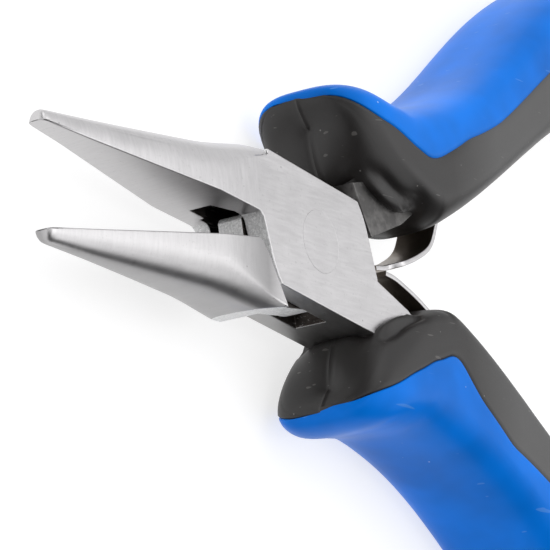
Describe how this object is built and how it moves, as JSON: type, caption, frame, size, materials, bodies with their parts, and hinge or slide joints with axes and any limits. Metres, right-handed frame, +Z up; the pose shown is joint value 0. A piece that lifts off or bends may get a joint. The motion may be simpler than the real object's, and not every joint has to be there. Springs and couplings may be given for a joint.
{
  "type": "flat nose pliers",
  "caption": "Small jewellery pliers with slim tapered smooth jaws, a flush riveted box joint, interlocked leaf springs and two-colour moulded grips.",
  "frame": {"origin": "under the middle of the open tool, on the plane that the grips rest on", "axes": "+X from the jaws to the handles, +Z up through the thickness; the joint axis runs along Z"},
  "size_m": [0.1252, 0.0882, 0.0136],
  "materials": {
    "steel": "satin ground",
    "rivet_steel": "satin ground",
    "spring_steel": "polished",
    "charcoal_rubber": "satin",
    "blue_plastic": "satin gloss"
  },
  "bodies": {
    "slotted_body": {"slotted_half": "steel", "joint_rivet": "rivet_steel", "lower_leaf_spring": "spring_steel", "lower_spring_rivet": "rivet_steel", "lower_inner_grip": "charcoal_rubber", "lower_outer_grip": "blue_plastic"},
    "tongue_body": {"tongue_half": "steel", "upper_leaf_spring": "spring_steel", "upper_spring_rivet": "rivet_steel", "upper_inner_grip": "charcoal_rubber", "upper_outer_grip": "blue_plastic"}
  },
  "joints": [
    {"name": "joint_pivot", "type": "hinge", "parent": "slotted_body", "child": "tongue_body", "pos_m": [-0.0254, 0, 0.0068], "axis": [0, 0, 1], "range_deg": [-13.9, 3], "stiffness_Nm_per_rad": 0.6, "deforming": ["lower_leaf_spring", "upper_leaf_spring"]}
  ]
}
